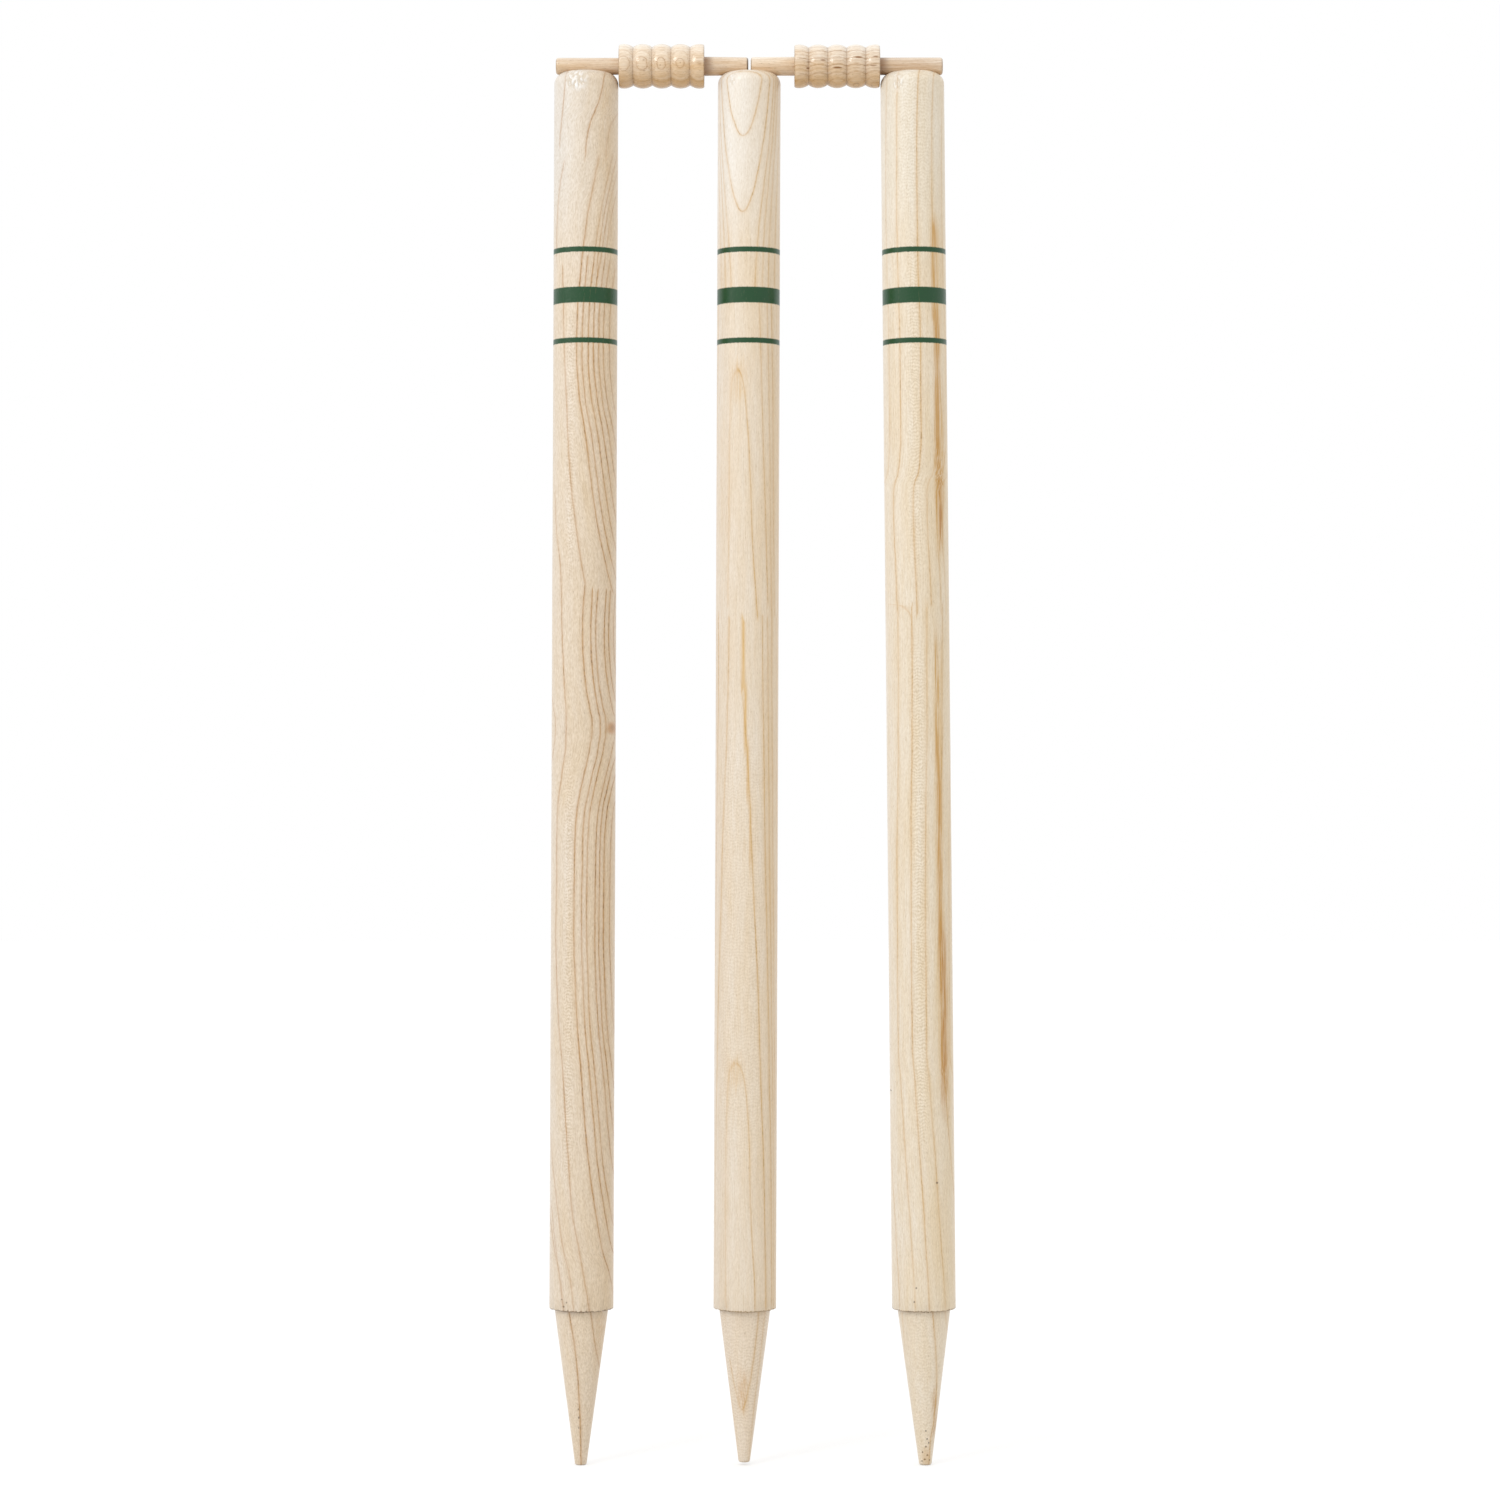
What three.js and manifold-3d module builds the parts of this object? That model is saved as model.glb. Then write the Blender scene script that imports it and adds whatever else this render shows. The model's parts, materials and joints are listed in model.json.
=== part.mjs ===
import * as THREE from "three";
import { mergeVertices } from "three/addons/utils/BufferGeometryUtils.js";
import Module from "manifold-3d";

// Cricket stumps set up as a wicket: three turned ash stumps in a row, with two bails across their heads.
// Millimetres, +Z up. +X runs along the wicket from the left stump to the right one, and +Y is away
// from the viewer. The origin is on the ground line, at the centre of the middle stump's foot.

// Sizes that the three stumps share
const heightAboveGround = 711.2; // from the shoulder to the crown of the head: 28 inches
const headEdgeRadius = 6.8;
const headCrownRadius = 120;
const shoulderEdgeRadius = 0.6;
const spikeTipEdgeRadius = 1.2;
const bailGrooveDepth = 1.2; // below the crown, at the thickest spigot

// Sizes of each stump. They are turned one by one, so they differ a little.
// A lean above zero tips the head towards +X.
const leftStump = {
  diameter: 37,
  spikeRootDiameter: 31.1,
  spikeTipDiameter: 6.7,
  spikeLength: 90.2,
  leanDegrees: 0.232,
};
const middleStump = {
  diameter: 36.2,
  spikeRootDiameter: 29.6,
  spikeTipDiameter: 6.6,
  spikeLength: 88.6,
  leanDegrees: 0.21,
};
const rightStump = {
  diameter: 36.8,
  spikeRootDiameter: 30.6,
  spikeTipDiameter: 7.3,
  spikeLength: 90.1,
  leanDegrees: -0.543,
};

// Sizes that the two bails share
const fullBeadCount = 3; // round beads between the two end beads
const beadWidth = 10.9; // from one groove to the next
const endBeadWidth = 8.25; // from the barrel's end face to the first groove
const beadGrooveDepth = 1.7;
const barrelEdgeRadius = 1;
const longSpigotLength = 36.3;
const shortSpigotLength = 25.1;
const spigotEdgeRadius = 1;

// Sizes of each bail
const leftBail = { barrelDiameter: 25.4, longSpigotDiameter: 9.8, shortSpigotDiameter: 10.4 };
const rightBail = { barrelDiameter: 24.9, longSpigotDiameter: 10.1, shortSpigotDiameter: 10.6 };

// Clearances
const spigotClearance = 0.3; // round a spigot that lies in its groove
const barrelClearance = 0.3; // from a barrel's end face to the outer stump's side
const bailTipGap = 1.6; // between the bails' inner tips, over the middle stump
const cutOverrun = 5; // how far a cutter runs past the wood

// How finely the round shapes are drawn
const stumpSides = 48;
const bailSides = 40;
const grooveSides = 40;
const headEdgeSteps = 6;
const crownSteps = 3;
const smallEdgeSteps = 2;
const beadSteps = 6;
const endBeadSteps = 4;

const wasm = await Module();
wasm.setup();

// Points on an arc about a centre. Angle zero points away from the axis and a right angle points up it.
function arc(centreRadius, centreHeight, radius, startAngle, endAngle, steps) {
  const points = [];
  for (let step = 0; step <= steps; step += 1) {
    const angle = startAngle + ((endAngle - startAngle) * step) / steps;
    points.push(
      new THREE.Vector2(
        centreRadius + radius * Math.cos(angle),
        centreHeight + radius * Math.sin(angle),
      ),
    );
  }
  return points;
}

// A spike's outline from the centre of its blunt tip up to its root, with the tip's edge rounded
function spikeOutline(stump) {
  const rootRadius = stump.spikeRootDiameter / 2;
  const tipRadius = stump.spikeTipDiameter / 2;
  const taper = Math.atan2(rootRadius - tipRadius, stump.spikeLength);
  const edge = Math.min(spikeTipEdgeRadius, tipRadius / 2);
  const edgeCentre = tipRadius - (edge * (1 - Math.sin(taper))) / Math.cos(taper);
  return [
    new THREE.Vector2(0, -stump.spikeLength),
    ...arc(edgeCentre, edge - stump.spikeLength, edge, -Math.PI / 2, -taper, smallEdgeSteps),
    new THREE.Vector2(rootRadius, 0),
  ];
}

// A shaft's outline from the edge of its flat shoulder up to the middle of its domed head
function shaftOutline(stump) {
  const radius = stump.diameter / 2;
  const shoulder = shoulderEdgeRadius;
  const edge = headEdgeRadius;
  const crownCentre = heightAboveGround - headCrownRadius;
  const edgeRise = Math.sqrt((headCrownRadius - edge) ** 2 - (radius - edge) ** 2);
  const crownAngle = Math.atan2(edgeRise, radius - edge);
  return [
    ...arc(radius - shoulder, shoulder, shoulder, -Math.PI / 2, 0, smallEdgeSteps),
    ...arc(radius - edge, crownCentre + edgeRise, edge, 0, crownAngle, headEdgeSteps),
    ...arc(0, crownCentre, headCrownRadius, crownAngle, Math.PI / 2, crownSteps).slice(1, -1),
    new THREE.Vector2(0, heightAboveGround),
  ];
}

// A turned shape about the Z axis, from an outline of radius and height that starts and ends on the axis
function turned(outline, sides) {
  const lathe = new THREE.LatheGeometry(outline, sides);
  lathe.rotateX(Math.PI / 2);
  return welded(lathe);
}

// The same geometry with its shared vertices merged and its empty triangles dropped
function welded(geometry) {
  const bare = geometry.clone();
  bare.deleteAttribute("normal");
  bare.deleteAttribute("uv");
  const merged = mergeVertices(bare);
  const corners = merged.index.array;
  const kept = [];
  for (let first = 0; first < corners.length; first += 3) {
    const [a, b, c] = corners.slice(first, first + 3);
    if (a !== b && b !== c && c !== a) kept.push(a, b, c);
  }
  merged.setIndex(kept);
  return merged;
}

function asSolid(geometry) {
  const vertProperties = new Float32Array(geometry.attributes.position.array);
  const triVerts = new Uint32Array(geometry.index.array);
  return new wasm.Manifold(new wasm.Mesh({ numProp: 3, vertProperties, triVerts }));
}

function asGeometry(solid) {
  const mesh = solid.getMesh();
  const geometry = new THREE.BufferGeometry();
  geometry.setAttribute("position", new THREE.BufferAttribute(mesh.vertProperties, 3));
  geometry.setIndex(new THREE.BufferAttribute(mesh.triVerts, 1));
  geometry.computeVertexNormals();
  return geometry;
}

// Pale ash, sanded and lightly lacquered
function stumpWood() {
  return new THREE.MeshStandardMaterial({ color: 0xe2d0b5, roughness: 0.5, metalness: 0 });
}

// The bails' wood is a shade browner
function bailWood() {
  return new THREE.MeshStandardMaterial({ color: 0xd6bc98, roughness: 0.42, metalness: 0 });
}

function thickestShortSpigot() {
  return Math.max(leftBail.shortSpigotDiameter, rightBail.shortSpigotDiameter);
}

// Where the bails lie: level, at the height that leaves the thickest spigot its groove and clearance
function bailAxisHeight() {
  const thickestSpigot = Math.max(
    leftBail.longSpigotDiameter,
    rightBail.longSpigotDiameter,
    thickestShortSpigot(),
  );
  return heightAboveGround - bailGrooveDepth + spigotClearance + thickestSpigot / 2;
}

function barrelLength() {
  return fullBeadCount * beadWidth + 2 * endBeadWidth;
}

function lean(stump) {
  return THREE.MathUtils.degToRad(stump.leanDegrees);
}

// How far a stump's axis stands to +X of its foot, at the height of the bails
function headOffset(stump) {
  return bailAxisHeight() * Math.tan(lean(stump));
}

// From the middle stump's axis to an outer stump's, at the height of the bails: the bail spans it
function headSpacing(outerStump) {
  return bailTipGap / 2 + shortSpigotLength + barrelLength() + barrelClearance + outerStump.diameter / 2;
}

// The channel that a bail lies in, cut along the wicket and level however the stump leans
function bailChannel(stump, spigotDiameter) {
  const radius = spigotDiameter / 2 + spigotClearance;
  const length = stump.diameter + 2 * cutOverrun;
  const channel = new THREE.CylinderGeometry(radius, radius, length, grooveSides);
  channel.rotateZ(Math.PI / 2);
  channel.translate(headOffset(stump), 0, bailAxisHeight());
  channel.rotateY(-lean(stump));
  return welded(channel);
}

// One stump, spike and shaft in one piece of wood, standing on its foot
function makeStump(name, stump, footX, spigotDiameter) {
  const blank = asSolid(turned([...spikeOutline(stump), ...shaftOutline(stump)], stumpSides));
  const grooved = blank.subtract(asSolid(bailChannel(stump, spigotDiameter)));
  const mesh = new THREE.Mesh(asGeometry(grooved), stumpWood());
  mesh.name = name;
  mesh.position.x = footX;
  mesh.rotation.y = lean(stump);
  return mesh;
}

// A bail's outline along its own axis. Zero is the barrel's outer end face, where the long spigot starts
function bailOutline(bail) {
  const longRadius = bail.longSpigotDiameter / 2;
  const shortRadius = bail.shortSpigotDiameter / 2;
  const innerTip = barrelLength() + shortSpigotLength;
  const edge = spigotEdgeRadius;
  return [
    new THREE.Vector2(0, -longSpigotLength),
    ...arc(longRadius - edge, edge - longSpigotLength, edge, -Math.PI / 2, 0, smallEdgeSteps),
    new THREE.Vector2(longRadius, 0),
    ...barrelOutline(bail.barrelDiameter / 2),
    new THREE.Vector2(shortRadius, barrelLength()),
    ...arc(shortRadius - edge, innerTip - edge, edge, 0, Math.PI / 2, smallEdgeSteps),
    new THREE.Vector2(0, innerTip),
  ];
}

// The radius that a bead's side is rounded to, so that it is one beadWidth across at its grooves
function beadRadius() {
  return ((beadWidth / 2) ** 2 + beadGrooveDepth ** 2) / (2 * beadGrooveDepth);
}

function beadHalfAngle() {
  return Math.asin(beadWidth / 2 / beadRadius());
}

// An end bead's outline, from the barrel's flat end face over its crest to the first groove
function endBeadOutline(radius) {
  const round = beadRadius();
  const edge = barrelEdgeRadius;
  const crest = endBeadWidth - beadWidth / 2;
  const edgeInset = Math.sqrt((round - edge) ** 2 - (crest - edge) ** 2);
  const edgeAngle = Math.atan2(edge - crest, edgeInset);
  return [
    ...arc(radius - round + edgeInset, edge, edge, -Math.PI / 2, edgeAngle, smallEdgeSteps),
    ...arc(radius - round, crest, round, edgeAngle, beadHalfAngle(), endBeadSteps).slice(1),
  ];
}

// The barrel: round beads with V grooves between them, and an end bead each side that its face cuts short
function barrelOutline(radius) {
  const round = beadRadius();
  const halfAngle = beadHalfAngle();
  const endBead = endBeadOutline(radius);
  const points = [...endBead];
  for (let bead = 0; bead < fullBeadCount; bead += 1) {
    const centre = endBeadWidth + (bead + 1 / 2) * beadWidth;
    points.push(...arc(radius - round, centre, round, -halfAngle, halfAngle, beadSteps).slice(1));
  }
  const farBead = endBead.map((point) => new THREE.Vector2(point.x, barrelLength() - point.y)).reverse();
  points.push(...farBead.slice(1));
  return points;
}

// One bail, lying along X with its long spigot towards -X until the mesh is turned
function makeBail(name, bail) {
  const geometry = turned(bailOutline(bail), bailSides);
  geometry.rotateY(Math.PI / 2);
  geometry.computeVertexNormals();
  const mesh = new THREE.Mesh(geometry, bailWood());
  mesh.name = name;
  mesh.position.z = bailAxisHeight();
  return mesh;
}

const middleHeadX = headOffset(middleStump);
const leftHeadX = middleHeadX - headSpacing(leftStump);
const rightHeadX = middleHeadX + headSpacing(rightStump);

const wicket = new THREE.Group();
wicket.add(
  makeStump("left_stump", leftStump, leftHeadX - headOffset(leftStump), leftBail.longSpigotDiameter),
  makeStump("middle_stump", middleStump, 0, thickestShortSpigot()),
  makeStump("right_stump", rightStump, rightHeadX - headOffset(rightStump), rightBail.longSpigotDiameter),
);

const leftBailMesh = makeBail("left_bail", leftBail);
leftBailMesh.position.x = leftHeadX + leftStump.diameter / 2 + barrelClearance;
const rightBailMesh = makeBail("right_bail", rightBail);
rightBailMesh.position.x = rightHeadX - rightStump.diameter / 2 - barrelClearance;
rightBailMesh.rotation.z = Math.PI;
wicket.add(leftBailMesh, rightBailMesh);

export default wicket;
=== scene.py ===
import json
import math

import bmesh
import bpy
from mathutils import Matrix, Vector, noise


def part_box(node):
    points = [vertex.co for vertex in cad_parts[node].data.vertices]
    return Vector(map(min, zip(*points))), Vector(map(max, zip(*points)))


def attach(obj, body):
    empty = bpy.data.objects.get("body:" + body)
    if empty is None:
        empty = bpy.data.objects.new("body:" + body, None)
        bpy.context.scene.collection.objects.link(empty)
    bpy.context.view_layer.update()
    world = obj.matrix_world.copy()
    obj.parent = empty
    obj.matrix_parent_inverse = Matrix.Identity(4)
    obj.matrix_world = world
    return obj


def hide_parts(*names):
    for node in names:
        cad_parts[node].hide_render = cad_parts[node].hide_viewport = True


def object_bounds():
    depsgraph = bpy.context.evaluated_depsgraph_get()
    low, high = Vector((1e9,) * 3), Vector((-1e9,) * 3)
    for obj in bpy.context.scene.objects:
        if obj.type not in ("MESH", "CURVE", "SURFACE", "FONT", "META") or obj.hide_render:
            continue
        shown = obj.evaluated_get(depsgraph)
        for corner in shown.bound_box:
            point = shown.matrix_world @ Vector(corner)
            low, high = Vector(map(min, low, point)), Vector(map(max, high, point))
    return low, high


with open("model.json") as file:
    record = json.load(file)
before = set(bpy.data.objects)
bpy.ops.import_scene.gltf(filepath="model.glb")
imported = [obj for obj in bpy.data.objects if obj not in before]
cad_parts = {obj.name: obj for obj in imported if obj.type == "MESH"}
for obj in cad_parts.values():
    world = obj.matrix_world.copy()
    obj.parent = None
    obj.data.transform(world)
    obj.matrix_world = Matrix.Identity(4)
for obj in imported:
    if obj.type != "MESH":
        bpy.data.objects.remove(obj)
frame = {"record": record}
cadLow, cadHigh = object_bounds()
mm = 0.001
print("packed frame loaded")

# The camera stands level in front of the wicket
photoCamera = {
    "frameWidth": 864.5 * mm,  # what the square picture takes in at the stumps
    "middleX": 3.0 * mm,
    "middleZ": 321.6 * mm,
    "distance": 2.2,
    "sensorWidth": 36,
}


def placeCamera():
    data = bpy.data.cameras.new("photoCamera")
    data.sensor_width = photoCamera["sensorWidth"]
    data.lens = photoCamera["sensorWidth"] * photoCamera["distance"] / photoCamera["frameWidth"]
    camera = bpy.data.objects.new("photoCamera", data)
    camera.location = (photoCamera["middleX"], -photoCamera["distance"], photoCamera["middleZ"])
    camera.rotation_euler = (math.radians(90), 0, 0)
    bpy.context.scene.collection.objects.link(camera)
    bpy.context.scene.camera = camera


placeCamera()
print("camera placed")


# sRGB hex text to the linear colour that shaders take
def linearColour(hexText):
    channels = [int(hexText[start:start + 2], 16) / 255 for start in (1, 3, 5)]
    linear = [c / 12.92 if c <= 0.04045 else ((c + 0.055) / 1.055) ** 2.4 for c in channels]
    return (*linear, 1)


# Adds one node, sets it up, fills its inputs with values or other nodes' outputs and gives back its outputs
def addNode(tree, kind, inputs=None, **settings):
    made = tree.nodes.new("ShaderNode" + kind)
    for name, value in settings.items():
        setattr(made, name, value)
    for socket, value in (inputs or {}).items():
        if isinstance(value, bpy.types.NodeSocket):
            tree.links.new(value, made.inputs[socket])
        else:
            made.inputs[socket].default_value = value
    return made.outputs


# An empty node tree for a material or the world
def emptyTree(owner):
    owner.use_nodes = True
    owner.node_tree.nodes.clear()
    return owner.node_tree


# Studio light

studio = {
    "ambient": 1.0,
    "lightColour": "#fffdf9",
    "floorSize": 12,
    "floorColour": "#c4c4c4",
    "floorGlow": 0.47,
    "keyPower": 12.6,
    "keySize": 0.8,
    "keyPlace": (-1.3, -1.6, 1.7),
    "sidePower": 2.2,
    "sideSize": 0.5,
    "sidePlace": (-2.1, -0.95, 1.1),
    "aim": (0, 0, 0.45),
}


# One where the camera, a reflection or a look through something meets this surface, and zero for light itself
def seenDirectly(tree):
    ray = addNode(tree, "LightPath")
    seen = addNode(tree, "Math", {0: ray["Is Camera Ray"], 1: ray["Is Glossy Ray"]}, operation="MAXIMUM")[0]
    return addNode(tree, "Math", {0: seen, 1: ray["Is Transmission Ray"]}, operation="MAXIMUM")[0]


def whiteRoom():
    world = bpy.data.worlds.new("whiteRoom")
    tree = emptyTree(world)
    level = addNode(tree, "MapRange", {
        "Value": seenDirectly(tree), "To Min": studio["ambient"], "To Max": 1})[0]
    glow = addNode(tree, "Background", {"Color": (1, 1, 1, 1), "Strength": level})[0]
    addNode(tree, "OutputWorld", {"Surface": glow})
    bpy.context.scene.world = world


# Matt white sweep: it glows a little where it is looked at, so that it is white but keeps the stumps' shadow
def paperSweep():
    material = bpy.data.materials.new("mattPaperSweep")
    tree = emptyTree(material)
    paper = addNode(tree, "BsdfDiffuse", {"Color": linearColour(studio["floorColour"])})[0]
    strength = addNode(tree, "Math", {0: seenDirectly(tree), 1: studio["floorGlow"]}, operation="MULTIPLY")[0]
    glow = addNode(tree, "Emission", {"Color": (1, 1, 1, 1), "Strength": strength})[0]
    both = addNode(tree, "AddShader", {0: paper, 1: glow})[0]
    addNode(tree, "OutputMaterial", {"Surface": both})
    return material


def whiteFloor():
    half = studio["floorSize"] / 2
    corners = [(-half, -half, 0), (half, -half, 0), (half, half, 0), (-half, half, 0)]
    mesh = bpy.data.meshes.new("studioFloor")
    mesh.from_pydata(corners, [], [(0, 1, 2, 3)])
    mesh.materials.append(paperSweep())
    floor = bpy.data.objects.new("studioFloor", mesh)
    floor.location.z = cadLow.z
    bpy.context.scene.collection.objects.link(floor)


def softLamp(name, place, size, power):
    data = bpy.data.lights.new(name, "AREA")
    data.shape = "DISK"
    data.size = size
    data.energy = power
    data.color = linearColour(studio["lightColour"])[:3]
    lamp = bpy.data.objects.new(name, data)
    lamp.location = place
    towards = Vector(studio["aim"]) - Vector(place)
    lamp.rotation_euler = towards.to_track_quat("-Z", "Y").to_euler()
    bpy.context.scene.collection.objects.link(lamp)


bpy.context.scene.view_settings.view_transform = "Standard"
whiteRoom()
whiteFloor()
softLamp("keyLamp", studio["keyPlace"], studio["keySize"], studio["keyPower"])
softLamp("sideLamp", studio["sidePlace"], studio["sideSize"], studio["sidePower"])
print("studio lit")


# Ash timber

# How wide across the grain and how long along it each pattern's lumps are, in millimetres. Real fibres, cut
# cells and pores are a tenth as wide. They are drawn as coarse as shows.
grain = {
    "clouds": (6, 70),
    "lineFading": (4, 45),
    "fibres": (0.6, 13),
    "flecks": (0.65, 2.2),
    "pores": (0.6, 2.4),
    "streaks": (0.5, 26),
    "raggedEnds": (1.6, 14),
    "curlWaves": (3.5, 9),
    "curlDots": (0.9, 0.9),
    "lacquerRunsAndGlints": (1.7, 3.6),
    "shadeWobble": (1.3, 1.3),
    "paintEdge": (0.8, 0.8),
}


# How far the growth layers have drifted sideways at each height, as a smooth curve through chosen places
def growthDrift(tree, height, drift):
    heights, shifts = zip(*drift)
    low, high, least, most = min(heights), max(heights), min(shifts), max(shifts)
    share = addNode(tree, "MapRange", {"Value": height, "From Min": low, "From Max": high})[0]
    curve = addNode(tree, "FloatCurve", {"Value": share})[0]
    mapping = curve.node.mapping
    points = mapping.curves[0].points
    for number, (tall, shift) in enumerate(sorted(drift)):
        spot = ((tall - low) / (high - low), (shift - least) / (most - least))
        if number < 2:
            points[number].location = spot
        else:
            points.new(*spot)
    for point in points:
        point.handle_type = "AUTO_CLAMPED"
    mapping.update()
    return addNode(tree, "MapRange", {"Value": curve, "To Min": least, "To Max": most})[0]


# Soft noise between minus and plus the given size, in lumps of the given width and length along the grain
def grainNoise(tree, spot, lump, size, detail=2):
    across, along = lump
    stretched = addNode(tree, "VectorMath", {
        0: spot, 1: (1 / across, 1 / across, 1 / along)}, operation="MULTIPLY")[0]
    lumps = addNode(tree, "TexNoise", {"Vector": stretched, "Scale": 1, "Detail": detail})[0]
    return addNode(tree, "MapRange", {
        "Value": lumps, "From Min": 0.25, "From Max": 0.75, "To Min": -size, "To Max": size}, clamp=False)[0]


# One between two heights, softly falling to zero outside them
def heightWindow(tree, height, low, high, fade):
    above = addNode(tree, "MapRange", {
        "Value": height, "From Min": low, "From Max": low + fade}, interpolation_type="SMOOTHSTEP")[0]
    below = addNode(tree, "MapRange", {
        "Value": height, "From Min": high, "From Max": high - fade}, interpolation_type="SMOOTHSTEP")[0]
    return addNode(tree, "Math", {0: above, 1: below}, operation="MULTIPLY")[0]


# As strong as given at one place, softly falling to zero at its reach
def softSpot(tree, value, place, reach, strength):
    away = addNode(tree, "Math", {0: value, 1: place}, operation="SUBTRACT")[0]
    away = addNode(tree, "Math", {0: away}, operation="ABSOLUTE")[0]
    return addNode(tree, "MapRange", {
        "Value": away, "From Max": reach, "To Min": strength, "To Max": 0},
        interpolation_type="SMOOTHSTEP")[0]


# Lays colours over one another, each as strongly as its mask says
def layered(tree, base, layers):
    for mask, colour in layers:
        base = addNode(tree, "Mix", {0: mask, 6: base, 7: colour}, data_type="RGBA")[2]
    return base


# One drift for the fibres all the way up, from those of the sections, each moved to go on from the one below
def joinedDrift(sections):
    leastStep = 3
    joined = []
    for section in sorted(sections, key=lambda each: min(each["drift"])):
        points = sorted(section["drift"])
        if joined:
            points = [point for point in points if point[0] > joined[-1][0] + leastStep]
            shift = joined[-1][1] - points[0][1]
            points = [(height, place + shift) for height, place in points]
        joined += points
    return joined


# Places in the timber, in millimetres, and again turned so that x runs across the growth layers, y along them
def timberSpace(tree, figure):
    where = addNode(tree, "TexCoord")
    spot = addNode(tree, "VectorMath", {0: where["Object"], "Scale": 1 / mm}, operation="SCALE")[0]
    plain = addNode(tree, "SeparateXYZ", {0: spot})
    turn = math.radians(90 - figure["ringTurn"])
    turned = addNode(tree, "VectorRotate", {"Vector": spot, "Angle": turn}, rotation_type="Z_AXIS")[0]
    outward = addNode(tree, "VectorRotate", {
        "Vector": where["Normal"], "Angle": turn}, rotation_type="Z_AXIS")[0]
    across, side, height = addNode(tree, "SeparateXYZ", {0: turned})
    bend = addNode(tree, "Math", {0: side, 1: figure["pithDistance"]}, operation="DIVIDE")[0]
    curved = addNode(tree, "Math", {0: bend, 1: side}, operation="MULTIPLY")[0]
    layer = addNode(tree, "Math", {0: curved, 1: 0.5, 2: across}, operation="MULTIPLY_ADD")[0]
    wander = 0
    for *lump, size in figure["wander"]:
        wobble = grainNoise(tree, spot, lump, size)
        wander = addNode(tree, "Math", {0: wander, 1: wobble}, operation="ADD")[0]
    drift = growthDrift(tree, height, joinedDrift(figure["sections"]))
    along = addNode(tree, "Math", {0: across, 1: drift}, operation="SUBTRACT")[0]
    fibre = addNode(tree, "CombineXYZ", {0: along, 1: side, 2: height})[0]

    # Where lines and stains stop, they stop raggedly, but not at the shoulder
    ragged = grainNoise(tree, spot, grain["raggedEnds"], 5)
    offShoulder = addNode(tree, "Math", {0: height}, operation="ABSOLUTE")[0]
    offShoulder = addNode(tree, "MapRange", {"Value": offShoulder, "From Min": 5, "From Max": 15})[0]
    raggedHeight = addNode(tree, "Math", {0: ragged, 1: offShoulder, 2: height}, operation="MULTIPLY_ADD")[0]
    return {"spot": spot, "x": plain[0], "y": plain[1], "height": height, "raggedHeight": raggedHeight,
            "fibre": fibre, "outward": outward, "side": side, "bend": bend, "layer": layer, "wander": wander}


# The porous line at the start of each year's growth. However steeply the lathe cut through it, it is drawn
# about as wide on the surface, and so is its wandering. The second mask is its wider glow.
def yearLines(tree, space, section, figure):
    slopeStep = 3
    leastSteepness = 0.04
    drift = growthDrift(tree, space["height"], section["drift"])
    above = addNode(tree, "Math", {0: space["height"], 1: slopeStep}, operation="ADD")[0]
    driftAbove = growthDrift(tree, above, section["drift"])
    fall = addNode(tree, "Math", {0: drift, 1: driftAbove}, operation="SUBTRACT")[0]
    slope = addNode(tree, "Math", {0: fall, 1: slopeStep}, operation="DIVIDE")[0]
    rise = addNode(tree, "CombineXYZ", {0: 1, 1: space["bend"], 2: slope})[0]
    across = addNode(tree, "VectorMath", {0: rise, 1: space["outward"]}, operation="CROSS_PRODUCT")[0]
    steepness = addNode(tree, "VectorMath", {0: across}, operation="LENGTH")["Value"]
    steepness = addNode(tree, "Math", {0: steepness, 1: leastSteepness}, operation="MAXIMUM")[0]
    layer = addNode(tree, "Math", {0: space["layer"], 1: drift}, operation="SUBTRACT")[0]
    layer = addNode(tree, "Math", {
        0: space["side"], 1: section.get("lean", 0), 2: layer}, operation="MULTIPLY_ADD")[0]
    layer = addNode(tree, "Math", {0: space["wander"], 1: steepness, 2: layer}, operation="MULTIPLY_ADD")[0]
    heights = [place[0] for place in section["drift"]]
    low, high = section.get("window", (min(heights), max(heights)))
    shown = heightWindow(tree, space["raggedHeight"], low, high, section.get("fade", figure["lineEndFade"]))
    masks = []
    for halfWidth in (figure["lineHalfWidth"], figure["glowHalfWidth"]):
        reach = addNode(tree, "Math", {0: steepness, 1: halfWidth}, operation="MULTIPLY")[0]
        mask = 0
        for place, strength, *limit in section["years"]:
            if limit:
                direction, middle = limit
                strength = addNode(tree, "MapRange", {
                    "Value": space["side"], "From Min": middle - direction, "From Max": middle + direction,
                    "To Max": strength})[0]
            line = softSpot(tree, layer, place, reach, strength)
            mask = addNode(tree, "Math", {0: mask, 1: line}, operation="MAXIMUM")[0]
        masks.append(addNode(tree, "Math", {0: mask, 1: shown}, operation="MULTIPLY")[0])
    return masks


# A soft upright patch of the timber, by its place across the growth layers and its two heights
def grainPatch(tree, space, patch):
    layer, halfWidth, low, high, fade, strength, *limit = patch
    mask = softSpot(tree, space["layer"], layer, halfWidth, strength)
    if limit:
        side, sideHalfWidth = limit
        mask = softSpot(tree, space["side"], side, sideHalfWidth, mask)
    ends = heightWindow(tree, space["raggedHeight"], low, high, fade)
    return addNode(tree, "Math", {0: mask, 1: ends}, operation="MULTIPLY")[0]


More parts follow.
